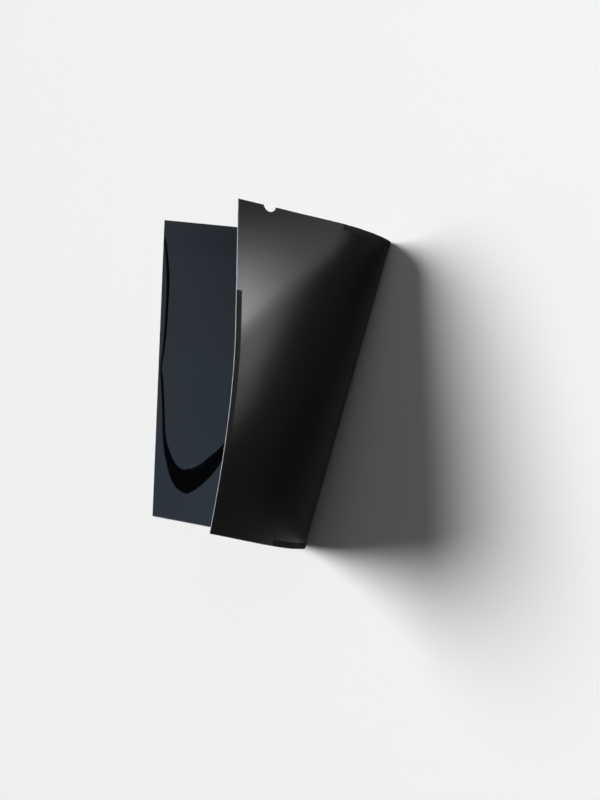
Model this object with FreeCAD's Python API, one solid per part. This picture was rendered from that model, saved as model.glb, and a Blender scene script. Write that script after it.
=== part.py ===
"""Monitor privacy filter: a thin sheet of louvre film, peeled and curled, with four adhesive strips.

The sheet is laid out flat, with x from its left edge and y from its bottom edge, and is then bent. A bend
is a fan of many small folds, each about a straight line that crosses the sheet from its bottom edge to its
top edge, so the bent sheet keeps its flat lengths. The flat part lies on the floor with its front face up,
and the origin is the middle of the left strip's adhesive face.
"""
import FreeCAD
import Part
import os

# Sheet, cut size and thickness
SHEET_WIDTH = 527.0
SHEET_HEIGHT = 296.5
SHEET_THICKNESS = 0.55

# Round thumb notch in the top edge, near the right corner
NOTCH_RADIUS = 7.0
NOTCH_DEPTH = 5.3
NOTCH_FROM_RIGHT = 35.5

# Adhesive strips on the back face, one at the middle of each edge
LONG_STRIP_LENGTH = 284.0
SHORT_STRIP_LENGTH = 132.0
STRIP_WIDTH = 5.5
STRIP_THICKNESS = 0.3
STRIP_SETBACK = 0.6
GLUE_LINE = 0.05

# Peel bend, where the sheet leaves the floor: tight at the top edge and wide at the bottom edge
PEEL_START_BOTTOM = 165.0
PEEL_START_TOP = 297.0
PEEL_LENGTH_BOTTOM = 103.0
PEEL_LENGTH_TOP = 14.0
PEEL_TURN = 58.0

# Open curl, which brings the flap up and over; its last lines would meet the bottom edge past the corner
CURL_GAP_BOTTOM = 52.0
CURL_GAP_TOP = 4.0
CURL_LENGTH_BOTTOM = 385.0
CURL_LENGTH_TOP = 98.0
CURL_TURN = 49.0

# Fineness of the bent faces
FOLDS_PER_BEND = 120
LINES_PER_BEND = 20

# How near a point counts as on a line, and how finely shares of a length are told apart
ON_LINE = 1e-6
SHARE_DIGITS = 9

# Depths below the front face
BACK_DEPTH = SHEET_THICKNESS
STRIP_NEAR_DEPTH = BACK_DEPTH + GLUE_LINE
STRIP_FAR_DEPTH = STRIP_NEAR_DEPTH + STRIP_THICKNESS

STRIP_INNER_EDGE = STRIP_SETBACK + STRIP_WIDTH
ORIGIN = FreeCAD.Vector(STRIP_SETBACK + STRIP_WIDTH / 2, SHEET_HEIGHT / 2, -STRIP_FAR_DEPTH)

# Each bend's lines: the first one's place along the bottom edge and how far they spread there, then the
# same along the top edge
PEEL = (PEEL_START_BOTTOM, PEEL_LENGTH_BOTTOM, PEEL_START_TOP, PEEL_LENGTH_TOP)
CURL_START_BOTTOM = PEEL_START_BOTTOM + PEEL_LENGTH_BOTTOM + CURL_GAP_BOTTOM
CURL_START_TOP = PEEL_START_TOP + PEEL_LENGTH_TOP + CURL_GAP_TOP
CURL = (CURL_START_BOTTOM, CURL_LENGTH_BOTTOM, CURL_START_TOP, CURL_LENGTH_TOP)


def line_at(bend, share):
    """Where the line at a share of a bend meets the bottom edge and the top edge."""
    bottom, bottom_length, top, top_length = bend
    return bottom + share * bottom_length, top + share * top_length


def fan(bend):
    """The fold lines of one bend."""
    return [line_at(bend, (i + 0.5) / FOLDS_PER_BEND) for i in range(FOLDS_PER_BEND)]


def turned_about(line, turn):
    """The placement that folds the flat sheet up about one line, by a turn in degrees."""
    bottom, top = line
    along = FreeCAD.Vector(top - bottom, SHEET_HEIGHT, 0)
    on_line = FreeCAD.Vector(bottom, 0, 0)
    return FreeCAD.Placement(FreeCAD.Vector(), FreeCAD.Rotation(along, -turn), on_line)


def placements_after_each_fold():
    """Where the flat sheet goes after each number of folds, starting with none."""
    placements = [FreeCAD.Placement()]
    for bend, turn in ((PEEL, PEEL_TURN), (CURL, CURL_TURN)):
        for line in fan(bend):
            placements.append(placements[-1].multiply(turned_about(line, turn / FOLDS_PER_BEND)))
    return placements


FOLDS = fan(PEEL) + fan(CURL)
PLACEMENTS = placements_after_each_fold()


def right_of(line, point):
    """How far right of a line across the sheet a flat point lies."""
    bottom, top = line
    x, y = point
    return x - bottom - y / SHEET_HEIGHT * (top - bottom)


def folds_passed(point):
    """How many folds lie left of a flat point."""
    return sum(1 for line in FOLDS if right_of(line, point) > 0)


def placed(placement, point, depth):
    """A flat point at a depth below the front face, moved by a placement into the part's frame."""
    x, y = point
    return placement.multVec(FreeCAD.Vector(x, y, -depth)) - ORIGIN


def bent(points, depth):
    """The points of the bent sheet at some flat points, at a depth below the front face."""
    return [placed(PLACEMENTS[folds_passed(point)], point, depth) for point in points]


def polygon_face(points):
    """A flat face with straight sides."""
    return Part.Face(Part.makePolygon(points + points[:1]))


def smooth_edge(points):
    """A smooth edge through evenly numbered points, or a straight one between two."""
    if len(points) == 2:
        return Part.makeLine(*points)
    spline = Part.BSplineCurve()
    spline.interpolate(Points=points, Parameters=[float(i) for i in range(len(points))])
    return spline.toShape()


def face_between(first, second):
    """The face swept by a straight line from one row of points to another, a plane where it is flat."""
    swept = Part.makeRuledSurface(smooth_edge(first), smooth_edge(second)).Faces[0]
    plane = swept.findPlane()
    if plane:
        return Part.Face(plane, [swept.OuterWire])
    return swept


def band_faces(first, second, near_depth, far_depth):
    """The four long faces of a band between two rows of flat points and two depths, bent as the sheet is."""
    first_near = bent(first, near_depth)
    second_near = bent(second, near_depth)
    first_far = bent(first, far_depth)
    second_far = bent(second, far_depth)
    return [
        face_between(first_near, second_near),
        face_between(first_far, second_far),
        face_between(first_near, first_far),
        face_between(second_near, second_far),
    ]


def closed_solid(faces):
    """One solid, closed by the given faces."""
    shell = Part.makeShell(faces)
    shell.sewShape()
    solid = Part.makeSolid(Part.Shell(shell.Faces))
    if solid.Volume < 0:
        solid.reverse()
    return solid


def line_ends(bend, share):
    """The flat points where a bend's line meets the sheet's outline, the lower one first."""
    bottom, top = line_at(bend, share)
    if bottom <= SHEET_WIDTH:
        return (bottom, 0), (top, SHEET_HEIGHT)
    height = SHEET_HEIGHT * (bottom - SHEET_WIDTH) / (bottom - top)
    return (SHEET_WIDTH, height), (top, SHEET_HEIGHT)


def bent_panel(bend, first_share, last_share):
    """The faces of the sheet across a stretch of a bend."""
    step = (last_share - first_share) / LINES_PER_BEND
    lines = [line_ends(bend, first_share + i * step) for i in range(LINES_PER_BEND + 1)]
    lower = [low for low, high in lines]
    upper = [high for low, high in lines]
    return band_faces(lower, upper, 0, BACK_DEPTH)


def flat_panel(outline, folds, open_sides):
    """The faces of a panel that stays flat after some folds, without the sides numbered as open."""
    front = [placed(PLACEMENTS[folds], point, 0) for point in outline]
    back = [placed(PLACEMENTS[folds], point, BACK_DEPTH) for point in outline]
    faces = [polygon_face(front), polygon_face(back)]
    for i in range(len(outline)):
        j = (i + 1) % len(outline)
        if i not in open_sides:
            faces.append(polygon_face([front[i], front[j], back[j], back[i]]))
    return faces


def floor_panel():
    """The flat part that lies on the floor, open where the peel bend starts."""
    low, high = line_ends(PEEL, 0)
    return flat_panel([(0, 0), low, high, (0, SHEET_HEIGHT)], 0, open_sides=(1,))


def middle_panel():
    """The narrow flat part between the two bends."""
    peel_low, peel_high = line_ends(PEEL, 1)
    curl_low, curl_high = line_ends(CURL, 0)
    return flat_panel([peel_low, curl_low, curl_high, peel_high], FOLDS_PER_BEND, open_sides=(1, 3))


def curl_panels():
    """The open curl, in two stretches where the bottom right corner lies within it."""
    corner_share = (SHEET_WIDTH - CURL_START_BOTTOM) / CURL_LENGTH_BOTTOM
    if corner_share >= 1:
        return bent_panel(CURL, 0, 1)
    return bent_panel(CURL, 0, corner_share) + bent_panel(CURL, corner_share, 1)


def tip_panel():
    """The flat tip past the curl, which takes in the bottom right corner where the curl ends before it."""
    low, high = line_ends(CURL, 1)
    outline = [high, low, (SHEET_WIDTH, SHEET_HEIGHT)]
    if low[0] < SHEET_WIDTH:
        outline.insert(2, (SHEET_WIDTH, 0))
    return flat_panel(outline, len(FOLDS), open_sides=(0,))


def notch_cutter():
    """A round pin square to the sheet, whose lower part bites into the top edge."""
    top_point = (SHEET_WIDTH - NOTCH_FROM_RIGHT, SHEET_HEIGHT)
    turn = PLACEMENTS[folds_passed(top_point)].Rotation
    axis = turn.multVec(FreeCAD.Vector(0, 0, 1))
    up_the_sheet = turn.multVec(FreeCAD.Vector(0, 1, 0))
    on_edge = bent([top_point], BACK_DEPTH / 2)[0]
    centre = on_edge + up_the_sheet * (NOTCH_RADIUS - NOTCH_DEPTH)
    half_length = NOTCH_RADIUS
    return Part.makeCylinder(NOTCH_RADIUS, 2 * half_length, centre - axis * half_length, axis)


def filter_sheet():
    """The bent sheet in one solid, with its thumb notch."""
    faces = floor_panel() + bent_panel(PEEL, 0, 1) + middle_panel() + curl_panels() + tip_panel()
    return closed_solid(faces).cut(notch_cutter()).Solids[0]


def point_along(rail, share):
    """The flat point at a share of the way along a rail, a straight line between two flat points."""
    (x0, y0), (x1, y1) = rail
    return x0 + share * (x1 - x0), y0 + share * (y1 - y0)


def share_at(bend, point):
    """The share of a bend whose line passes through a flat point."""
    from_first = right_of(line_at(bend, 0), point)
    from_last = right_of(line_at(bend, 1), point)
    return from_first / (from_first - from_last)


def crossing_share(rail, line):
    """The share of a rail where it crosses a line, or None where it stays on one side."""
    before = right_of(line, rail[0])
    after = right_of(line, rail[1])
    if min(before, after) > ON_LINE or max(before, after) < -ON_LINE or abs(before - after) < ON_LINE:
        return None
    return min(max(before / (before - after), 0), 1)


def break_at(rails, line):
    """Where a line across a strip meets its two rails, as shares of them, or None where it misses the strip.

    A line that leaves the strip through its end counts as meeting the corner there.
    """
    shares = [crossing_share(rail, line) for rail in rails]
    met = [share for share in shares if share is not None]
    if not met:
        return None
    return tuple(round(met[0]) if share is None else round(share, SHARE_DIGITS) for share in shares)


def strip_breaks(rails):
    """The ends of a strip, and the lines across it where a bend starts or ends or which meet a corner."""
    corners = [rail_end for rail in rails for rail_end in rail]
    breaks = {(0, 0), (1, 1)}
    for bend in (PEEL, CURL):
        for share in [0, 1] + [share_at(bend, corner) for corner in corners]:
            if 0 <= share <= 1:
                breaks.add(break_at(rails, line_at(bend, share)))
    breaks.discard(None)
    return sorted(breaks)


def rail_points(rail, first, last, count):
    """Flat points at even steps along a stretch of a rail."""
    return [point_along(rail, first + (last - first) * i / count) for i in range(count + 1)]


def strip_stretch(rails, first, last):
    """The long faces of a stretch of a strip, between two breaks."""
    ends = [(point_along(rail, a), point_along(rail, b)) for rail, a, b in zip(rails, first, last)]
    bends = any(folds_passed(a) != folds_passed(b) for a, b in ends)
    count = LINES_PER_BEND if bends else 1
    rows = [rail_points(rail, a, b, count) for rail, a, b in zip(rails, first, last)]
    return band_faces(*rows, STRIP_NEAR_DEPTH, STRIP_FAR_DEPTH)


def strip_corner(tip, rail, first, last):
    """The faces of a small three-sided corner of a strip, from a tip to a stretch of the other rail."""
    side = [point_along(rail, first), point_along(rail, last)]
    near = bent([tip] + side, STRIP_NEAR_DEPTH)
    far = bent([tip] + side, STRIP_FAR_DEPTH)
    return [polygon_face(near), polygon_face(far), face_between(near[1:], far[1:])]


def strip_end(corners):
    """The end face of a strip, between two corners."""
    return face_between(bent(corners, STRIP_NEAR_DEPTH), bent(corners, STRIP_FAR_DEPTH))


def adhesive_strip(first_rail, second_rail):
    """A strip of tape on the back face, between two rails that are its long edges, bent with the sheet."""
    rails = (first_rail, second_rail)
    faces = [strip_end([rail[0] for rail in rails]), strip_end([rail[1] for rail in rails])]
    breaks = strip_breaks(rails)
    for first, last in zip(breaks, breaks[1:]):
        if first[0] == last[0]:
            faces += strip_corner(point_along(first_rail, first[0]), second_rail, first[1], last[1])
        elif first[1] == last[1]:
            faces += strip_corner(point_along(second_rail, first[1]), first_rail, first[0], last[0])
        else:
            faces += strip_stretch(rails, first, last)
    return closed_solid(faces)


def long_strip(y0, y1):
    """A strip at the middle of the sheet's width, between two heights."""
    start = (SHEET_WIDTH - LONG_STRIP_LENGTH) / 2
    end = start + LONG_STRIP_LENGTH
    return adhesive_strip(((start, y0), (end, y0)), ((start, y1), (end, y1)))


def short_strip(x0, x1):
    """A strip at the middle of the sheet's height, between two distances from the left edge."""
    start = (SHEET_HEIGHT - SHORT_STRIP_LENGTH) / 2
    end = start + SHORT_STRIP_LENGTH
    return adhesive_strip(((x0, start), (x0, end)), ((x1, start), (x1, end)))


def make_pieces():
    """Every node's name and its solid."""
    return {
        "filter_sheet": filter_sheet(),
        "adhesive_strip_left": short_strip(STRIP_SETBACK, STRIP_INNER_EDGE),
        "adhesive_strip_right": short_strip(SHEET_WIDTH - STRIP_INNER_EDGE, SHEET_WIDTH - STRIP_SETBACK),
        "adhesive_strip_bottom": long_strip(STRIP_SETBACK, STRIP_INNER_EDGE),
        "adhesive_strip_top": long_strip(SHEET_HEIGHT - STRIP_INNER_EDGE, SHEET_HEIGHT - STRIP_SETBACK),
    }


os.makedirs("parts", exist_ok=True)
for node, solid in make_pieces().items():
    solid.exportStep(f"parts/{node}.step")
    box = solid.BoundBox
    print(f"{node}: valid {solid.isValid()}, {solid.Volume:.1f} mm3, x {box.XMin:.1f} to {box.XMax:.1f},"
          f" y {box.YMin:.1f} to {box.YMax:.1f}, z {box.ZMin:.2f} to {box.ZMax:.2f}")
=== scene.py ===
# %% [markdown]
# A peeled privacy filter
#
# A privacy filter is one thin sheet of dark louvre film, with a strip of tape at the middle of each
# edge. Its front is glossy, its back is satin, and the cut leaves a pale frosted edge all round. This
# lesson loads the solid model as a fixed frame, cuts a finer sheet flat and bends it over that frame,
# gives every face its finish, and lights the whole.

# %% Load the frame
import math
from collections import namedtuple

import bpy
import numpy as np
from mathutils import Matrix, Vector
from mathutils.geometry import delaunay_2d_cdt


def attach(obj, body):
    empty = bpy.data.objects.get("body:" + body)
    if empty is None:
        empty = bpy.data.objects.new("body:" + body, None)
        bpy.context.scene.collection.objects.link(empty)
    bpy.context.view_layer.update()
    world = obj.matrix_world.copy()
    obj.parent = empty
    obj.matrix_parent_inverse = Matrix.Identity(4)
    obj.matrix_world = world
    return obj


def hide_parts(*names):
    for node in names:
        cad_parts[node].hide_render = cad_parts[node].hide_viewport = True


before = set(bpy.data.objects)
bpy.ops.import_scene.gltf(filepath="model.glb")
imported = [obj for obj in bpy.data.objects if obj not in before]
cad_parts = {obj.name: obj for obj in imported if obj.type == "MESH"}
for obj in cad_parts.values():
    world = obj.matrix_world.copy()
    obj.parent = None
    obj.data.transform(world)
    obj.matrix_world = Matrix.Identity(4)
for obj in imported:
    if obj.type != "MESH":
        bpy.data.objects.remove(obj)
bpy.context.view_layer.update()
print("nodes:", sorted(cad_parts))

# %% [markdown]
# How the sheet bends
#
# Film bends but doesn't stretch, so a bent sheet is made of straight lines: it can only turn about lines
# that cross it from edge to edge. A lattice or a curve modifier would stretch it. So the sheet is
# described flat, with x from its left edge and y from its bottom edge, and two fans of fold lines turn
# it a little at each line. The first fan peels it off the floor, and the second curls it over.

# %% Sizes of the flat sheet and its bends, in metres and degrees
SHEET_WIDTH = 0.527
SHEET_HEIGHT = 0.2965
SHEET_THICKNESS = 0.00055
GLUE_LINE = 0.00005
TAPE_THICKNESS = 0.0003
TAPE_WIDTH = 0.0055
TAPE_SETBACK = 0.0006

# Where a bend's first fold meets the bottom edge and how far its folds spread there, the same along the top
# edge, and its whole turn
Bend = namedtuple("Bend", "bottom bottom_spread top top_spread turn")
PEEL = Bend(bottom=0.165, bottom_spread=0.103, top=0.297, top_spread=0.014, turn=58.0)
CURL = Bend(bottom=0.320, bottom_spread=0.385, top=0.315, top_spread=0.098, turn=49.0)

# The frame's origin is the middle of the left tape's sticky face
ORIGIN = np.array([
    TAPE_SETBACK + TAPE_WIDTH / 2,
    SHEET_HEIGHT / 2,
    -(SHEET_THICKNESS + GLUE_LINE + TAPE_THICKNESS),
])
print("flat sheet, mm:", 1000 * SHEET_WIDTH, "by", 1000 * SHEET_HEIGHT)

# %% The fold lines
FOLDS_PER_BEND = 480


def fold_lines(bend):
    """Where each fold of a bend meets the bottom and the top edge, and its small turn in radians."""
    shares = (np.arange(FOLDS_PER_BEND) + 0.5) / FOLDS_PER_BEND
    on_bottom = bend.bottom + shares * bend.bottom_spread
    on_top = bend.top + shares * bend.top_spread
    small_turn = np.full(FOLDS_PER_BEND, math.radians(bend.turn) / FOLDS_PER_BEND)
    return np.stack([on_bottom, on_top, small_turn], 1)


def placements(lines):
    """The matrix that carries the flat sheet after each number of folds, starting with none."""
    matrix = Matrix.Identity(4)
    carried = [matrix]
    for bottom, top, turn in lines:
        pivot = Vector((bottom, 0, 0))
        along = Vector((top - bottom, SHEET_HEIGHT, 0))
        fold = Matrix.Translation(pivot) @ Matrix.Rotation(-turn, 4, along) @ Matrix.Translation(-pivot)
        matrix = matrix @ fold
        carried.append(matrix)
    return np.array(carried)


FOLDS = np.concatenate([fold_lines(PEEL), fold_lines(CURL)])
PLACEMENTS = placements(FOLDS)
print("folds:", len(FOLDS), "turn in all:", round(math.degrees(FOLDS[:, 2].sum()), 1))

# %% [markdown]
# Where the film has let go
#
# The flat part still clings to what it lies on, but the peel has begun to lift it from inside. Its cling
# ends along a soft step: a narrow flank near the left edge, and a wide one that swings round at the
# bottom. On glossy film such a step shows only in what it mirrors, so it is modelled as real height and
# not painted. A height that depended on the distance to a single line would leave a crease wherever that
# line turns tightly. So two lines, the foot of the step and its top, are drawn round one point inside
# the lifted area. Towards the peel the two lines draw apart, and the step becomes a slope too gentle to
# see.

# %% The foot and the top of the step, on the flat sheet
LIFT_MIDDLE = (0.090, 0.150)

# Points of the two lines, anticlockwise from the upper left; those off the sheet only close the loops
STEP_FOOT = np.array([
    (0.0004, 0.2790), (0.0050, 0.2550), (0.0069, 0.2270), (0.0067, 0.1975), (0.0053, 0.1725),
    (0.0029, 0.1502), (0.0048, 0.1320), (0.0077, 0.1080), (0.0092, 0.0880), (0.0114, 0.0730),
    (0.0160, 0.0580), (0.0230, 0.0420), (0.0324, 0.0314), (0.0450, 0.0265), (0.0568, 0.0305),
    (0.0717, 0.0413), (0.0850, 0.0534), (0.0940, 0.0640), (0.1120, 0.0790), (0.1350, 0.0920),
    (0.1700, 0.1050), (0.2200, 0.1200), (0.3000, 0.1500), (0.3200, 0.2200), (0.3000, 0.3200),
    (0.1500, 0.4000), (0.0400, 0.3400), (-0.0040, 0.3000),
])
STEP_TOP = np.array([
    (0.0030, 0.2790), (0.0082, 0.2600), (0.0114, 0.2380), (0.0115, 0.2160), (0.0103, 0.1830),
    (0.0078, 0.1640), (0.0058, 0.1502), (0.0092, 0.1330), (0.0129, 0.1060), (0.0156, 0.0865),
    (0.0192, 0.0755), (0.0256, 0.0648), (0.0330, 0.0575), (0.0440, 0.0543), (0.0550, 0.0580),
    (0.0700, 0.0662), (0.0836, 0.0748), (0.0955, 0.0830), (0.1100, 0.1000), (0.1280, 0.1260),
    (0.1400, 0.1500), (0.1500, 0.1800), (0.1500, 0.2200), (0.1400, 0.2600), (0.1200, 0.3000),
    (0.0600, 0.3200), (-0.0010, 0.3000),
])
print("step drawn through", len(STEP_FOOT), "and", len(STEP_TOP), "points")

# %% Both lines as seen from the middle
SAMPLES_PER_SPAN = 24
DIRECTIONS_MEASURED = np.radians([130, 155, 180, 205, 230, 250, 268])


def smooth_loop(points):
    """A finely sampled closed line through some points that turns smoothly at each of them."""
    following = np.roll(points, -1, 0)
    leave = (following - np.roll(points, 1, 0)) / 2
    arrive = np.roll(leave, -1, 0)
    t = (np.arange(SAMPLES_PER_SPAN) / SAMPLES_PER_SPAN)[None, :, None]
    spans = (
        points[:, None] * (1 + 2 * t) * (1 - t) ** 2
        + leave[:, None] * t * (1 - t) ** 2
        + following[:, None] * t ** 2 * (3 - 2 * t)
        - arrive[:, None] * t ** 2 * (1 - t)
    )
    return spans.reshape(-1, 2)


def seen_from_middle(points):
    """The direction and the distance of each point of a line from the middle of the lifted area."""
    offset = smooth_loop(points) - LIFT_MIDDLE
    return np.arctan2(offset[:, 1], offset[:, 0]), np.hypot(offset[:, 0], offset[:, 1])


FOOT_SEEN = seen_from_middle(STEP_FOOT)
TOP_SEEN = seen_from_middle(STEP_TOP)


def reach(direction, seen):
    """How far from the middle a line lies in some directions."""
    return np.interp(direction, *seen, period=2 * math.pi)


def step_width(direction):
    """How wide the step is in some directions from the middle."""
    return reach(direction, FOOT_SEEN) - reach(direction, TOP_SEEN)


print("step width, mm:", (1000 * step_width(DIRECTIONS_MEASURED)).round(1).tolist())

# %% [markdown]
# The flank rises at one steady slope, with a short easing at its foot and its top, because a flank that
# eased all the way would mirror a blur instead of a clean dark band. The lift grows towards the bottom,
# and dies out before the top edge and the first fold.

# %% Slopes from 0 to 1
# The share of a steady slope that each of its easings takes
EASING = 0.10


def smooth_step(share):
    """0 before 0, 1 after 1, and a soft S between."""
    t = np.clip(share, 0, 1)
    return t * t * (3 - 2 * t)


def steady_ramp(share):
    """0 before 0, 1 after 1, and one slope between, with an easing at each end."""
    t = np.clip(share, 0, 1)
    slope = 1 / (1 - EASING)
    middle = slope * (t - EASING / 2)
    eased_foot = slope * t ** 2 / (2 * EASING)
    eased_top = 1 - slope * (1 - t) ** 2 / (2 * EASING)
    return np.where(t < EASING, eased_foot, np.where(t > 1 - EASING, eased_top, middle))


def faded_in(distance, fade):
    """0 at the first distance of a fade, 1 at the second, and soft between."""
    start, end = fade
    return smooth_step((distance - start) / (end - start))


quarters = np.linspace(0, 1, 5)
print("soft slope:", smooth_step(quarters).round(2).tolist())
print("steady slope:", steady_ramp(quarters).round(2).tolist())

# %% Height of the lifted film
LIFT_HIGH_UP = 0.00045
LIFT_LOW_DOWN = 0.0020
# The height on the sheet below which the lift grows, and the one at which it is full
LIFT_CHANGES = (0.150, 0.030)
# How far from the top edge, and from the first fold, there is no lift yet, and where it is whole
TOP_FADE = (0.004, 0.034)
PEEL_FADE = (0.004, 0.070)
# The least width that the flank of the step is given
NARROWEST_STEP = 0.0022
# A line up the sheet, inside the step, where the lift is measured
MEASURED_X = 0.050
MEASURED_Y = np.array([0.25, 0.15, 0.09])


def step_share(x, y):
    """0 at the foot of the step, 1 at its top, and on beyond both."""
    dx = x - LIFT_MIDDLE[0]
    dy = y - LIFT_MIDDLE[1]
    direction = np.arctan2(dy, dx)
    from_foot = reach(direction, FOOT_SEEN) - np.hypot(dx, dy)
    return from_foot / np.maximum(step_width(direction), NARROWEST_STEP)


def lift(x, y):
    """How far the film is above where it would lie flat."""
    height = LIFT_HIGH_UP + (LIFT_LOW_DOWN - LIFT_HIGH_UP) * faded_in(y, LIFT_CHANGES)
    first_fold = PEEL.bottom + y / SHEET_HEIGHT * (PEEL.top - PEEL.bottom)
    below_top = faded_in(SHEET_HEIGHT - y, TOP_FADE)
    before_peel = faded_in(first_fold - x, PEEL_FADE)
    return height * steady_ramp(step_share(x, y)) * below_top * before_peel


print("lift inside the step, mm:", (1000 * lift(MEASURED_X, MEASURED_Y)).round(2).tolist())

# %% [markdown]
# Carry flat points to their bent places
#
# Film and tape were flat once, so every piece is described by places on the flat sheet and by depths
# below its front. A point is carried by all the folds on its left. Asking that of one point at a time is
# slow in Python, so whole arrays of points are carried at once. Which way the front faces at each point is
# worked out along with its place, because the shading will need it.

# %% Places and directions on the bent sheet
POINTS_PER_BLOCK = 2000
TILT_STEP = 0.00005


def folds_passed(x, y):
    """How many folds lie on the left of each point, counted a block of points at a time."""
    counts = []
    for start in range(0, len(x), POINTS_PER_BLOCK):
        block = slice(start, start + POINTS_PER_BLOCK)
        share = y[block, None] / SHEET_HEIGHT
        fold_x = FOLDS[:, 0] + share * (FOLDS[:, 1] - FOLDS[:, 0])
        counts.append((x[block, None] > fold_x).sum(1))
    return np.concatenate(counts)


def bent(x, y, depth):
    """Frame places of flat points at a depth below the front, and which way the front faces there."""
    x, y, depth = (np.asarray(v, float) for v in np.broadcast_arrays(x, y, depth))
    carried = PLACEMENTS[folds_passed(x, y)]
    flat = np.stack([x, y, lift(x, y) - depth, np.ones_like(x)], 1)
    places = np.einsum("nij,nj->ni", carried, flat)[:, :3] - ORIGIN
    tilt_x = (lift(x + TILT_STEP, y) - lift(x - TILT_STEP, y)) / (2 * TILT_STEP)
    tilt_y = (lift(x, y + TILT_STEP) - lift(x, y - TILT_STEP)) / (2 * TILT_STEP)
    facing = np.stack([-tilt_x, -tilt_y, np.ones_like(x)], 1)
    facing /= np.linalg.norm(facing, axis=1, keepdims=True)
    return places, np.einsum("nij,nj->ni", carried[:, :3, :3], facing)


corners, _ = bent([0, SHEET_WIDTH, SHEET_WIDTH, 0], [0, 0, SHEET_HEIGHT, SHEET_HEIGHT], 0)
print("bent corners, mm:", (1000 * corners).round(1).tolist())

# %% [markdown]
# Shader maths in Python
#
# A finish is a small sum of patterns. Wiring each sum node by node is slow to read, so one class wraps
# an output socket: its operators add Math nodes, and its one method makes any other node.


# %% A socket that can be added, subtracted and multiplied
class Signal:
    """One output socket in a tree of nodes."""

    def __init__(self, socket):
        self.socket = socket

    @classmethod
    def node(cls, tree, kind, settings=None, sockets=None, output=0):
        """Makes a node, sets it, fills its sockets with values or links, and returns one of its outputs."""
        made = tree.nodes.new(kind)
        for name, value in (settings or {}).items():
            setattr(made, name, value)
        for name, value in (sockets or {}).items():
            if isinstance(value, cls):
                tree.links.new(value.socket, made.inputs[name])
            else:
                made.inputs[name].default_value = value
        return cls(made.outputs[output])

    def math(self, operation, first, second):
        """A Math node on two values or signals."""
        tree = self.socket.id_data
        return Signal.node(tree, "ShaderNodeMath", {"operation": operation}, {0: first, 1: second})

    def __add__(self, other):
        return self.math("ADD", self, other)

    def __radd__(self, other):
        return self.math("ADD", other, self)

    def __sub__(self, other):
        return self.math("SUBTRACT", self, other)

    def __rsub__(self, other):
        return self.math("SUBTRACT", other, self)

    def __mul__(self, other):
        return self.math("MULTIPLY", self, other)

    def __rmul__(self, other):
        return self.math("MULTIPLY", other, self)


print("signals can be added, subtracted and multiplied")

# %% [markdown]
# Patterns that bend with the film
#
# The coats went onto the film while it was flat, so their patterns belong to the flat sheet. Blender's
# object coordinates would cut through the bend instead, as a saw cuts through the grain of wood. So
# every mesh below keeps where each of its points was on the flat sheet, and the patterns are read there.

# %% What the finishes are put together from
FLAT_PLACE = "flat_place"
# A Mix node has sockets of the same name for numbers and for colours, so the colour ones go by number
MIX_FACTOR = 0
MIX_FIRST = 6
MIX_SECOND = 7
MIX_RESULT = 2


def finish_named(name, base, roughness, specular):
    """A material, its tree and its shader. Base and roughness are what shows without the patterns."""
    material = bpy.data.materials.new(name)
    material.use_nodes = True
    shader = material.node_tree.nodes["Principled BSDF"]
    shader.inputs["Base Color"].default_value = (*base, 1)
    shader.inputs["Roughness"].default_value = roughness
    shader.inputs["Specular IOR Level"].default_value = specular
    return material, material.node_tree, shader


def feed(tree, signal, shader, socket):
    """Links a signal to one of the shader's sockets."""
    tree.links.new(signal.socket, shader.inputs[socket])


def noise(tree, grains, detail):
    """Soft random values, with so many grains in a metre of the flat sheet's width and of its height."""
    place = Signal.node(tree, "ShaderNodeAttribute", {"attribute_name": FLAT_PLACE}, output="Vector")
    multiply = {"operation": "MULTIPLY"}
    scaled = Signal.node(tree, "ShaderNodeVectorMath", multiply, {0: place, 1: (*grains, 1)})
    sockets = {"Vector": scaled, "Scale": 1.0, "Detail": detail}
    return Signal.node(tree, "ShaderNodeTexNoise", None, sockets, output="Fac")


def mixed(tree, mask, first, second):
    """One colour where a mask is 0 and another where it is 1; either may be a signal."""
    first, second = (c if isinstance(c, Signal) else (*c, 1) for c in (first, second))
    sockets = {MIX_FACTOR: mask, MIX_FIRST: first, MIX_SECOND: second}
    return Signal.node(tree, "ShaderNodeMix", {"data_type": "RGBA"}, sockets, output=MIX_RESULT)


def bumped(tree, height, shader, strength, distance):
    """Lets a height pattern tilt the surface."""
    sockets = {"Strength": strength, "Distance": distance, "Height": height}
    feed(tree, Signal.node(tree, "ShaderNodeBump", None, sockets, output="Normal"), shader, "Normal")


def describe(finish):
    """Prints what a finish is made of."""
    print("finish:", finish.name, "of", len(finish.node_tree.nodes), "nodes")


print("patterns are read at the attribute", FLAT_PLACE)

# %% [markdown]
# The glossy front
#
# The front is a hard gloss coat over dark navy film, so nearly all that shows is what it mirrors. A
# plain black plastic would look painted. The louvres inside are too fine to model, so they are faint
# streaks in the roughness. Clouds vary the tint, and slow waves make the mirror a little uneven.

# %% Glossy front
FRONT_DARK = (0.0006, 0.0008, 0.0011)
FRONT_LIGHT = (0.0013, 0.0015, 0.0020)
FRONT_ROUGHNESS = 0.035
FRONT_STREAKS_ADD = 0.03
FRONT_CLOUDS_ADD = 0.02


def front_gloss():
    """A dark mirror with faint streaks, clouds and waves."""
    material, tree, shader = finish_named(
        "film_front_gloss", base=(0.001, 0.0012, 0.0016), roughness=0.05, specular=0.5)
    streaks = noise(tree, grains=(900, 12), detail=2)
    clouds = noise(tree, grains=(14, 9), detail=3)
    waves = noise(tree, grains=(26, 20), detail=1)
    feed(tree, mixed(tree, clouds, FRONT_DARK, FRONT_LIGHT), shader, "Base Color")
    roughness = FRONT_ROUGHNESS + streaks * FRONT_STREAKS_ADD + clouds * FRONT_CLOUDS_ADD
    feed(tree, roughness, shader, "Roughness")
    bumped(tree, waves, shader, strength=0.12, distance=0.0004)
    return material


FRONT_GLOSS = front_gloss()
describe(FRONT_GLOSS)

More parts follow.
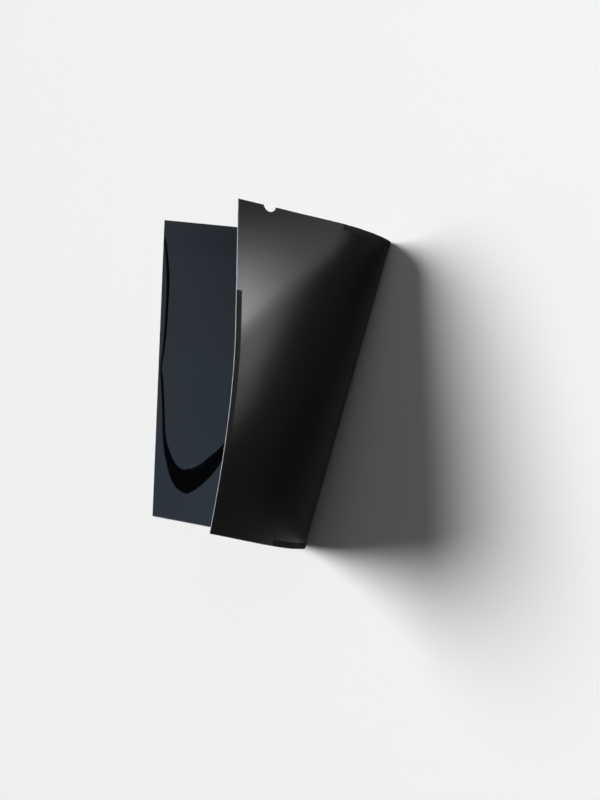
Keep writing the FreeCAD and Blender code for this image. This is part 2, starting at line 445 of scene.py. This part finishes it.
# %% [markdown]
# The satin back
#
# The back has a satin coat that spreads a highlight over a hand's width and stays black beside it.
# Roughness alone would turn it grey all over, because a rough surface gathers light from everywhere. So
# the base is nearly black, the specular level is low, and only strong light shows. A fine grain breaks
# up the shine.

# %% Satin back
BACK_DARK = (0.0006, 0.0006, 0.00065)
BACK_LIGHT = (0.0013, 0.0013, 0.0014)
BACK_ROUGHNESS = 0.25
BACK_STREAKS_ADD = 0.03
BACK_CLOUDS_ADD = 0.04


def back_satin():
    """A black satin with faint streaks, clouds and a fine grain."""
    material, tree, shader = finish_named(
        "film_back_satin", base=(0.0010, 0.0010, 0.0011), roughness=0.27, specular=0.03)
    streaks = noise(tree, grains=(1200, 30), detail=2)
    clouds = noise(tree, grains=(18, 14), detail=3)
    grain = noise(tree, grains=(2600, 2600), detail=2)
    feed(tree, mixed(tree, clouds, BACK_DARK, BACK_LIGHT), shader, "Base Color")
    roughness = BACK_ROUGHNESS + streaks * BACK_STREAKS_ADD + clouds * BACK_CLOUDS_ADD
    feed(tree, roughness, shader, "Roughness")
    bumped(tree, grain, shader, strength=0.15, distance=0.0001)
    return material


BACK_SATIN = back_satin()
describe(BACK_SATIN)

# %% [markdown]
# The frosted cut edge
#
# The knife leaves the edge frosted: it scatters light where the coats mirror it, and draws a thin pale
# line round the dark sheet. A pale colour alone would look like a painted line, so small nicks vary both
# its colour and its roughness.

# %% Frosted cut edge
EDGE_DARK = (0.18, 0.19, 0.20)
EDGE_LIGHT = (0.42, 0.43, 0.44)
EDGE_ROUGHNESS = 0.45
EDGE_NICKS_ADD = 0.3


def cut_edge():
    """A pale, rough edge with small nicks."""
    material, tree, shader = finish_named(
        "film_cut_edge", base=(0.30, 0.31, 0.32), roughness=0.6, specular=0.3)
    nicks = noise(tree, grains=(500, 500), detail=4)
    feed(tree, mixed(tree, nicks, EDGE_DARK, EDGE_LIGHT), shader, "Base Color")
    feed(tree, EDGE_ROUGHNESS + nicks * EDGE_NICKS_ADD, shader, "Roughness")
    return material


CUT_EDGE = cut_edge()
describe(CUT_EDGE)

# %% [markdown]
# The black tape
#
# The strips are matt black tape. Beside the satin film they stay dark where the film shines, and that is
# all that tells the two apart. One pattern, a fine weave, varies colour, roughness and height together,
# as the threads of a real tape do.

# %% Black tape
TAPE_DARK = (0.0022, 0.0022, 0.0024)
TAPE_LIGHT = (0.0042, 0.0042, 0.0045)
TAPE_ROUGHNESS = 0.60
TAPE_WEAVE_ADD = 0.2


def black_tape():
    """A matt black with a fine weave."""
    material, tree, shader = finish_named(
        "tape_black", base=(0.003, 0.003, 0.0032), roughness=0.7, specular=0.02)
    weave = noise(tree, grains=(3500, 3500), detail=3)
    feed(tree, mixed(tree, weave, TAPE_DARK, TAPE_LIGHT), shader, "Base Color")
    feed(tree, TAPE_ROUGHNESS + weave * TAPE_WEAVE_ADD, shader, "Roughness")
    bumped(tree, weave, shader, strength=0.35, distance=0.00012)
    return material


BLACK_TAPE = black_tape()
describe(BLACK_TAPE)

# %% [markdown]
# Cut the sheet flat, then bend it
#
# The real sheet is die cut and only then bent, and the mesh is made in the same order: its points are
# joined into triangles on the flat sheet and carried to their bent places afterwards. A mirror shows at
# once when triangles lie across a fold, so the points are set in columns that follow the folds and in
# level rows.

# %% Columns along the folds, and level rows
# Columns in the flat part, the peel, the flat strip after it, the curl and the flat tip
ZONE_COLUMNS = np.array([110, 28, 12, 64, 46])
ROW_STEP = 0.0027
TIP_WIDTH = SHEET_WIDTH - CURL.top - CURL.top_spread

# Where the lines between those zones meet the bottom edge and the top edge
ZONE_LINES = np.array([
    (0.0, 0.0),
    (PEEL.bottom, PEEL.top),
    (PEEL.bottom + PEEL.bottom_spread, PEEL.top + PEEL.top_spread),
    (CURL.bottom, CURL.top),
    (CURL.bottom + CURL.bottom_spread, CURL.top + CURL.top_spread),
    (CURL.bottom + CURL.bottom_spread + TIP_WIDTH, SHEET_WIDTH),
])
ZONE_STARTS = np.concatenate([[0], np.cumsum(ZONE_COLUMNS)])
COLUMNS = np.arange(ZONE_STARTS[-1] + 1)
ROWS = np.linspace(0, SHEET_HEIGHT, round(SHEET_HEIGHT / ROW_STEP) + 1)[1:-1]


def zone_x(y):
    """Where the lines between the zones are at some heights on the flat sheet."""
    share = np.asarray(y)[..., None] / SHEET_HEIGHT
    return ZONE_LINES[:, 0] + share * (ZONE_LINES[:, 1] - ZONE_LINES[:, 0])


def column_x(columns, y):
    """Where some columns are at one height."""
    return np.interp(columns, ZONE_STARTS, zone_x(y))


def column_at(x, y):
    """Which column, as a number with a fraction, passes through each flat point."""
    lines = zone_x(y)
    share = np.clip((x[:, None] - lines[:, :-1]) / (lines[:, 1:] - lines[:, :-1]), 0, 1)
    return share @ ZONE_COLUMNS


print("columns:", len(COLUMNS), "rows:", len(ROWS))

# %% [markdown]
# The outline has the thumb notch in it, a round bite that a finger can catch. A boolean cut would leave
# ragged triangles there, so the notch is part of the outline itself. The same outline is drawn three
# times, each a little further in: the cut, the inner side of its chamfer, and the inner side of the
# frosted margin.

# %% The outline
NOTCH_RADIUS = 0.007
NOTCH_DEPTH = 0.0053
NOTCH_FROM_RIGHT = 0.0355
NOTCH_STEPS = 18
CHAMFER = 0.00009
FROSTED_MARGIN = 0.00025
CLEAR_OF_CORNERS = 0.001
NOTCH_CENTRE = np.array([SHEET_WIDTH - NOTCH_FROM_RIGHT, SHEET_HEIGHT + NOTCH_RADIUS - NOTCH_DEPTH])
NOTCH_HALF_WIDTH = math.sqrt(NOTCH_RADIUS ** 2 - (NOTCH_RADIUS - NOTCH_DEPTH) ** 2)


def columns_between(left, right, y):
    """The columns that cross a level line between two places, clear of both."""
    x = column_x(COLUMNS, y)
    return COLUMNS[(x > left + CLEAR_OF_CORNERS) & (x < right - CLEAR_OF_CORNERS)]


BOTTOM_CUT = columns_between(0, SHEET_WIDTH, 0)
TOP_CUT_RIGHT = columns_between(NOTCH_CENTRE[0] + NOTCH_HALF_WIDTH, SHEET_WIDTH, SHEET_HEIGHT)
TOP_CUT_LEFT = columns_between(0, NOTCH_CENTRE[0] - NOTCH_HALF_WIDTH, SHEET_HEIGHT)


def level_cut(columns, y):
    """Points on a level cut where some columns cross it."""
    return np.stack([column_x(columns, y), np.full(len(columns), y)], 1)


def upright_cut(x, rows):
    """Points on an upright cut where some rows cross it."""
    return np.stack([np.full(len(rows), x), rows], 1)


def outline(inset):
    """The sheet's outline, anticlockwise, drawn in from the cut by an inset."""
    left, right, low, high = inset, SHEET_WIDTH - inset, inset, SHEET_HEIGHT - inset
    radius = NOTCH_RADIUS + inset
    half_angle = math.acos((NOTCH_CENTRE[1] - high) / radius)
    angles = np.linspace(half_angle, -half_angle, NOTCH_STEPS + 1)
    return np.concatenate([
        [(left, low)],
        level_cut(BOTTOM_CUT, low),
        [(right, low)],
        upright_cut(right, ROWS),
        [(right, high)],
        level_cut(TOP_CUT_RIGHT[::-1], high),
        NOTCH_CENTRE + radius * np.stack([np.sin(angles), -np.cos(angles)], 1),
        level_cut(TOP_CUT_LEFT[::-1], high),
        [(left, high)],
        upright_cut(left, ROWS[::-1]),
    ])


CUT = outline(0)
print("points on the outline:", len(CUT))

# %% [markdown]
# Inside the outline the points are set where columns and rows cross. Along the step they are set in
# lanes that follow it instead, so that its foot and its top stay clean lines.

# %% Points inside the outline
GRID_INSET = 0.0008
STEP_LANES = (-0.15, 0.0, EASING / 2, EASING, 0.5, 1 - EASING, 1 - EASING / 2, 1.0, 1.15)
LANE_CLEARANCE = 0.1
STEP_DIRECTIONS = 720
WIDEST_LANED_STEP = 0.030


def from_cut(points):
    """How far inside the cut each point of the flat sheet is."""
    x, y = points.T
    from_notch = np.linalg.norm(points - NOTCH_CENTRE, axis=1) - NOTCH_RADIUS
    return np.minimum.reduce([x, SHEET_WIDTH - x, y, SHEET_HEIGHT - y, from_notch])


def by_narrow_step(points):
    """Which points lie in a direction from the middle where the step is narrow enough for lanes."""
    offset = points - LIFT_MIDDLE
    return step_width(np.arctan2(offset[:, 1], offset[:, 0])) < WIDEST_LANED_STEP


def grid_points():
    """Where columns and rows cross, clear of the lanes of the step."""
    points = np.concatenate([level_cut(COLUMNS, y) for y in ROWS])
    share = step_share(*points.T)
    near_lanes = (share > STEP_LANES[0] - LANE_CLEARANCE) & (share < STEP_LANES[-1] + LANE_CLEARANCE)
    return points[(from_cut(points) > GRID_INSET) & ~(near_lanes & by_narrow_step(points))]


def step_points():
    """Points in lanes along the step, as long as it is narrow."""
    direction = np.linspace(-math.pi, math.pi, STEP_DIRECTIONS, endpoint=False)
    foot = reach(direction, FOOT_SEEN)
    top = reach(direction, TOP_SEEN)
    outward = np.stack([np.cos(direction), np.sin(direction)], 1)
    lanes = [LIFT_MIDDLE + (foot + share * (top - foot))[:, None] * outward for share in STEP_LANES]
    points = np.concatenate(lanes)
    return points[(from_cut(points) > GRID_INSET) & by_narrow_step(points)]


INSIDE_POINTS = np.concatenate([step_points(), grid_points()])
print("points inside:", len(INSIDE_POINTS))

# %% [markdown]
# Joining the points by hand would take a case for every place where lanes, columns and outline meet.
# Blender's own Delaunay routine joins any points and keeps the outline. It likes even spacing, so it
# works on column and row numbers instead of metres.

# %% Triangles on the flat sheet
# The routine's two last settings: keep only what is inside the outline, and merge points that fall together
KEEP_INSIDE = 1
MERGE_WITHIN = 1e-9


def flat_cut():
    """The flat sheet's points, its triangles, and how many of the points are on its rim."""
    rim = outline(CHAMFER)
    margin = outline(FROSTED_MARGIN)
    points = np.concatenate([rim, margin, INSIDE_POINTS])
    margin_loop = np.arange(len(rim), len(rim) + len(margin))
    margin_edges = np.stack([margin_loop, np.roll(margin_loop, -1)], 1).tolist()
    even = np.stack([column_at(*points.T), points[:, 1] / ROW_STEP], 1)
    _, _, triangles, came_from, _, _ = delaunay_2d_cdt(
        [Vector(p) for p in even], margin_edges, [list(range(len(rim)))], KEEP_INSIDE, MERGE_WITHIN)
    source = np.array([sources[0] for sources in came_from])
    return points, source[np.array(triangles)], len(rim)


FLAT_POINTS, TRIANGLES, RIM_COUNT = flat_cut()
print("flat cut:", len(FLAT_POINTS), "points and", len(TRIANGLES), "triangles")

# %% [markdown]
# The bent sheet
#
# The real sheet is half a millimetre thick. A Solidify modifier could thicken one bent face, but it
# would know nothing of the chamfers that the knife leaves. So the same flat cut serves the front and the
# back, and between them run a small chamfer, the square cut and another chamfer.

# %% Places of the front, the back and the edge
EDGE_DEPTHS = (CHAMFER, SHEET_THICKNESS - CHAMFER)

front_places, FRONT_FACING = bent(*FLAT_POINTS.T, 0)
back_places, _ = bent(*FLAT_POINTS.T, SHEET_THICKNESS)
edge_places = [bent(*CUT.T, depth)[0] for depth in EDGE_DEPTHS]
SHEET_PLACES = np.concatenate([front_places, back_places, *edge_places])
SHEET_FLAT_PLACES = np.concatenate([FLAT_POINTS, FLAT_POINTS, CUT, CUT])
print("sheet:", len(SHEET_PLACES), "points")

# %% Faces of the sheet, and the finish that each wears
FRONT_SLOT = 0
BACK_SLOT = 1
EDGE_SLOT = 2


def quads_between(first, second):
    """Four-sided faces that join two rings of as many points."""
    return np.stack([first, second, np.roll(second, -1), np.roll(first, -1)], 1)


def edge_quads():
    """The upper chamfer, the square cut and the lower chamfer, all round the sheet."""
    count = len(FLAT_POINTS)
    rim = np.arange(RIM_COUNT)
    rings = [rim, 2 * count + rim, 2 * count + RIM_COUNT + rim, count + rim]
    return np.concatenate([quads_between(*pair) for pair in zip(rings, rings[1:])])


BACK_TRIANGLES = len(FLAT_POINTS) + TRIANGLES[:, ::-1]
EDGE_QUADS = edge_quads()
on_margin = from_cut(FLAT_POINTS[TRIANGLES].mean(1)) < FROSTED_MARGIN
FACE_SLOTS = np.concatenate([
    np.where(on_margin, EDGE_SLOT, FRONT_SLOT),
    np.where(on_margin, EDGE_SLOT, BACK_SLOT),
    np.full(len(EDGE_QUADS), EDGE_SLOT),
])
print("faces of front, back and edge:", np.bincount(FACE_SLOTS).tolist())

# %% [markdown]
# A mirror gives away every triangle it is made of. Smooth shading only averages the directions of the
# faces round each point. So the directions that were worked out from the bend itself are handed to the
# mesh, and the front and the back show no trace of their triangles.


# %% The film in one piece
def new_piece(name, places, faces, flat):
    """A mesh object in the frame, which also keeps where each point was on the flat sheet."""
    mesh = bpy.data.meshes.new(name)
    mesh.from_pydata(places.tolist(), [], faces)
    kept = mesh.attributes.new(FLAT_PLACE, "FLOAT_VECTOR", "POINT")
    kept.data.foreach_set("vector", np.column_stack([flat, np.zeros(len(flat))]).astype(np.float32).ravel())
    piece = bpy.data.objects.new(name, mesh)
    bpy.context.scene.collection.objects.link(piece)
    return piece


def facing_at_corners(mesh):
    """Which way each corner of each face looks: by the bend on front and back, and square on the edge."""
    edge_faces = list(mesh.polygons)[-len(EDGE_QUADS):]
    edge_facing = np.array([face.normal for face in edge_faces])
    return np.concatenate([
        FRONT_FACING[TRIANGLES].reshape(-1, 3),
        -FRONT_FACING[TRIANGLES[:, ::-1]].reshape(-1, 3),
        np.repeat(edge_facing, EDGE_QUADS.shape[1], axis=0),
    ])


def make_film():
    """The sheet with its three finishes."""
    faces = TRIANGLES.tolist() + BACK_TRIANGLES.tolist() + EDGE_QUADS.tolist()
    piece = new_piece("louvre_film_sheet", SHEET_PLACES, faces, SHEET_FLAT_PLACES)
    mesh = piece.data
    for finish in (FRONT_GLOSS, BACK_SATIN, CUT_EDGE):
        mesh.materials.append(finish)
    mesh.polygons.foreach_set("material_index", FACE_SLOTS.tolist())
    mesh.polygons.foreach_set("use_smooth", [True] * len(faces))
    mesh.normals_split_custom_set(facing_at_corners(mesh).tolist())
    return piece


film = make_film()
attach(film, "root")
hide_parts("filter_sheet")
print("film:", len(film.data.polygons), "faces")

# %% [markdown]
# Strips of tape
#
# Each strip is a ribbon a third of a millimetre thick, stuck to the back, so it bends as the sheet
# bends. A box with a bend modifier would drift off the film. So the ribbon's section, with its slightly
# rounded edges, is carried along the strip's length by the same folds.

# %% The section and the faces of a ribbon
TAPE_NEAR = SHEET_THICKNESS + GLUE_LINE
TAPE_FAR = TAPE_NEAR + TAPE_THICKNESS
TAPE_ROUND = 0.00008
TAPE_LANES = 6


def tape_section():
    """The outline of a strip's cross-section: places across it, from one edge, and depths."""
    across = np.linspace(TAPE_ROUND, TAPE_WIDTH - TAPE_ROUND, TAPE_LANES)
    near = [(a, TAPE_NEAR) for a in across]
    side = [(TAPE_WIDTH, TAPE_NEAR + TAPE_ROUND), (TAPE_WIDTH, TAPE_FAR - TAPE_ROUND)]
    far = [(a, TAPE_FAR) for a in across[::-1]]
    other_side = [(0, TAPE_FAR - TAPE_ROUND), (0, TAPE_NEAR + TAPE_ROUND)]
    return np.array(near + side + far + other_side)


def ribbon_faces(steps, around):
    """The two ends of a ribbon, and the faces from each ring of points to the next."""
    ring = np.arange(around)
    faces = [ring.tolist(), (steps * around + ring[::-1]).tolist()]
    for start in range(0, steps * around, around):
        faces += quads_between(start + ring, start + around + ring).tolist()
    return faces


TAPE_SECTION = tape_section()
print("points round a strip:", len(TAPE_SECTION))

# %% Four strips
LONG_TAPE = 0.284
SHORT_TAPE = 0.132
TAPE_STEP = 0.0015
LONG_START = (SHEET_WIDTH - LONG_TAPE) / 2
SHORT_START = (SHEET_HEIGHT - SHORT_TAPE) / 2
TAPE_REACH = TAPE_SETBACK + TAPE_WIDTH
RIGHT_START = SHEET_WIDTH - TAPE_REACH
TOP_START = SHEET_HEIGHT - TAPE_REACH


def make_tape(name, node, corner, length, upright):
    """A strip from one corner of its place on the flat sheet, along the sheet's width or up its height."""
    steps = round(length / TAPE_STEP)
    along = np.repeat(np.linspace(0, length, steps + 1), len(TAPE_SECTION))
    across, depth = np.tile(TAPE_SECTION, (steps + 1, 1)).T
    x = corner[0] + (across if upright else along)
    y = corner[1] + (along if upright else across)
    places, _ = bent(x, y, depth)
    faces = ribbon_faces(steps, len(TAPE_SECTION))
    if upright:
        faces = [face[::-1] for face in faces]
    piece = new_piece(name, places, faces, np.stack([x, y], 1))
    piece.data.materials.append(BLACK_TAPE)
    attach(piece, "root")
    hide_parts(node)
    return piece


tapes = [
    make_tape("tape_left", "adhesive_strip_left", (TAPE_SETBACK, SHORT_START), SHORT_TAPE, upright=True),
    make_tape("tape_right", "adhesive_strip_right", (RIGHT_START, SHORT_START), SHORT_TAPE, upright=True),
    make_tape("tape_bottom", "adhesive_strip_bottom", (LONG_START, TAPE_SETBACK), LONG_TAPE, upright=False),
    make_tape("tape_top", "adhesive_strip_top", (LONG_START, TOP_START), LONG_TAPE, upright=False),
]
print("tapes:", [(tape.name, len(tape.data.polygons)) for tape in tapes])

# %% [markdown]
# Floor and room
#
# The part lies on a plain pale floor. A pale room round it would be mirrored in the gloss and wash it
# out, and a dark one would put a dark backdrop behind the floor. So the room is dark, with a glow along
# the horizon, and only where the camera looks straight past the floor does it see a pale backdrop.

# %% Pale floor
FLOOR_REACH = 20.0
FLOOR_DROP = 0.0002


def make_floor():
    """A wide pale floor just under the sheet."""
    r = FLOOR_REACH
    mesh = bpy.data.meshes.new("floor")
    corners = [(x, y, -FLOOR_DROP) for x, y in ((-r, -r), (r, -r), (r, r), (-r, r))]
    mesh.from_pydata(corners, [], [(0, 1, 2, 3)])
    floor = bpy.data.objects.new("floor", mesh)
    bpy.context.scene.collection.objects.link(floor)
    material, _, _ = finish_named("floor_pale", base=(0.86, 0.86, 0.86), roughness=0.85, specular=0.2)
    mesh.materials.append(material)
    return floor


print("floor:", make_floor().name)

# %% Dark room, pale backdrop
ROOM_DARK = (0.012, 0.012, 0.013)
ROOM_GLOW = (0.30, 0.31, 0.33)
BACKDROP = (0.95, 0.95, 0.95)
# How steeply upwards a look has to go to leave the glow, and how level it is where the glow is full
GLOW_ENDS = 0.36
GLOW_FULL = 0.02


def make_room():
    """A dark world with a glow along the horizon, which the camera sees as a pale backdrop."""
    world = bpy.data.worlds.new("studio")
    world.use_nodes = True
    bpy.context.scene.world = world
    tree = world.node_tree
    towards = Signal.node(tree, "ShaderNodeTexCoord", output="Generated")
    steepness = Signal.node(tree, "ShaderNodeSeparateXYZ", None, {"Vector": towards}, output="Z")
    limits = {"Value": steepness, "From Min": GLOW_ENDS, "From Max": GLOW_FULL}
    glow = Signal.node(tree, "ShaderNodeMapRange", {"interpolation_type": "SMOOTHSTEP"}, limits)
    room = mixed(tree, glow, ROOM_DARK, ROOM_GLOW)
    seen = Signal.node(tree, "ShaderNodeLightPath", output="Is Camera Ray")
    feed(tree, mixed(tree, seen, room, BACKDROP), tree.nodes["Background"], "Color")
    return world


print("room:", make_room().name)

# %% [markdown]
# Lights
#
# Black gloss shows nothing but its surroundings, so each light is placed by what a face mirrors. The
# flat part mirrors one dim, bluish panel with darkness round it, and the step in the film mirrors past
# that panel and turns black. The satin back mirrors four low lights at its right. One alone would leave
# a spot, so they overlap and fade away from the brightest. A soft sun keeps the whole floor pale, which
# no softbox does evenly, and a wide softbox near the camera fills the shadows. Blender sets a lamp by
# its power, and here that is worked out from its radiance, which is how bright it looks where it is
# mirrored.


# %% A softbox and a soft sun
def put_lamp(name, light, turned):
    """A lamp in the scene with a turn of its own."""
    lamp = bpy.data.objects.new(name, light)
    lamp.rotation_euler = turned.to_euler()
    bpy.context.scene.collection.objects.link(lamp)
    return lamp


def softbox(name, place, target, size, radiance):
    """A rectangular light that looks as bright as its radiance wherever it is mirrored."""
    light = bpy.data.lights.new(name, "AREA")
    light.shape = "RECTANGLE"
    light.size, light.size_y = size
    light.energy = radiance * math.pi * size[0] * size[1]
    lamp = put_lamp(name, light, (Vector(target) - Vector(place)).to_track_quat("-Z", "Y"))
    lamp.location = place
    lamp.visible_camera = False
    return lamp


def soft_sun(name, from_direction, irradiance, width):
    """An even light over the whole floor, as many degrees wide in the sky as a large softbox."""
    light = bpy.data.lights.new(name, "SUN")
    light.energy = irradiance
    light.angle = math.radians(width)
    return put_lamp(name, light, Vector(from_direction).to_track_quat("Z", "Y"))


sun = soft_sun("overhead", from_direction=(-0.36, 0.30, 0.88), irradiance=3.3, width=40)
fill = softbox(
    "camera_side", place=(2.2, 1.6, 2.2), target=(0.2, 0.0, 0.0), size=(2.4, 2.4), radiance=0.8)
panel = softbox(
    "dim_panel", place=(-2.06, -0.28, 2.08), target=(0.06, 0.0, 0.0), size=(0.86, 0.5), radiance=1.0)
print("lights:", [light.name for light in (sun, fill, panel)])

# %% Four low lights beside the satin back
# The middle of each light, just above the floor; its two sides; and its radiance
LOW_LIGHTS = {
    "low_light": ((0.654, 0.230, 0.006), (0.075, 0.075), 300.0),
    "low_side": ((0.593, 0.143, 0.005), (0.075, 0.18), 25.0),
    "low_tail": ((0.565, 0.072, 0.004), (0.09, 0.17), 17.0),
    "low_glow": ((0.547, 0.206, 0.003), (0.26, 0.10), 12.0),
}
HIGH_ABOVE = 1.0

for name, (place, size, radiance) in LOW_LIGHTS.items():
    straight_up = (place[0], place[1], HIGH_ABOVE)
    softbox(name, place, straight_up, size, radiance)
print("low lights:", list(LOW_LIGHTS))

# %% [markdown]
# The panel that the flat part mirrors isn't even: it grows brighter and bluer from the sheet's top to
# its bottom, and is darkest towards the upper right. Several small panels would show their borders in
# the mirror. So it is one panel, whose colour changes over its own surface.

# %% An uneven panel
# Colours where the sheet's top and its bottom mirror the panel, and in its dark corner
PANEL_AT_TOP = (0.41, 0.50, 0.60)
PANEL_AT_BOTTOM = (0.54, 0.69, 0.92)
PANEL_CORNER = (0.27, 0.36, 0.45)
# Where across the panel the corner begins, how fast it comes in, and how fast it fades along the panel
CORNER_STARTS = 0.45
CORNER_GROWTH = 5
CORNER_FADE = 1.5

panel.data.use_nodes = True
panel_tree = panel.data.node_tree
over_panel = Signal.node(panel_tree, "ShaderNodeNewGeometry", output="Parametric")
along = Signal.node(panel_tree, "ShaderNodeSeparateXYZ", None, {"Vector": over_panel}, output="X")
across = Signal.node(panel_tree, "ShaderNodeSeparateXYZ", None, {"Vector": over_panel}, output="Y")
corner = (across - CORNER_STARTS) * CORNER_GROWTH * (1 - along * CORNER_FADE)
lengthwise = mixed(panel_tree, along, PANEL_AT_TOP, PANEL_AT_BOTTOM)
tint = mixed(panel_tree, corner, lengthwise, PANEL_CORNER)
feed(panel_tree, tint, panel_tree.nodes["Emission"], "Color")
print("panel:", panel.name, "of", len(panel_tree.nodes), "nodes")

# %% [markdown]
# Camera
#
# The sheet is seen from above its right side, from far off through a long lens, so that its edges hardly
# draw together. A Track To constraint could aim the camera but not roll it, so the camera's matrix is
# built from the direction towards it and its own up.

# %% Camera at the photograph's angle
CAMERA_AIM = Vector((0.1931, -0.0105, 0.0))
CAMERA_TOWARDS = Vector((0.68868, 0.10564, 0.71733)).normalized()
CAMERA_UP = Vector((-0.10584, 0.99338, -0.04469))
CAMERA_DISTANCE = 3.0163
LENS_MM = 142.34

camera_data = bpy.data.cameras.new("camera")
camera_data.lens = LENS_MM
camera = bpy.data.objects.new("camera", camera_data)
right = CAMERA_UP.cross(CAMERA_TOWARDS).normalized()
up = CAMERA_TOWARDS.cross(right)
turned = Matrix((right, up, CAMERA_TOWARDS)).transposed().to_4x4()
camera.matrix_world = Matrix.Translation(CAMERA_AIM + CAMERA_TOWARDS * CAMERA_DISTANCE) @ turned
bpy.context.scene.collection.objects.link(camera)
bpy.context.scene.camera = camera
bpy.context.scene.view_settings.view_transform = "Standard"
print("camera at:", [round(v, 3) for v in camera.matrix_world.translation])
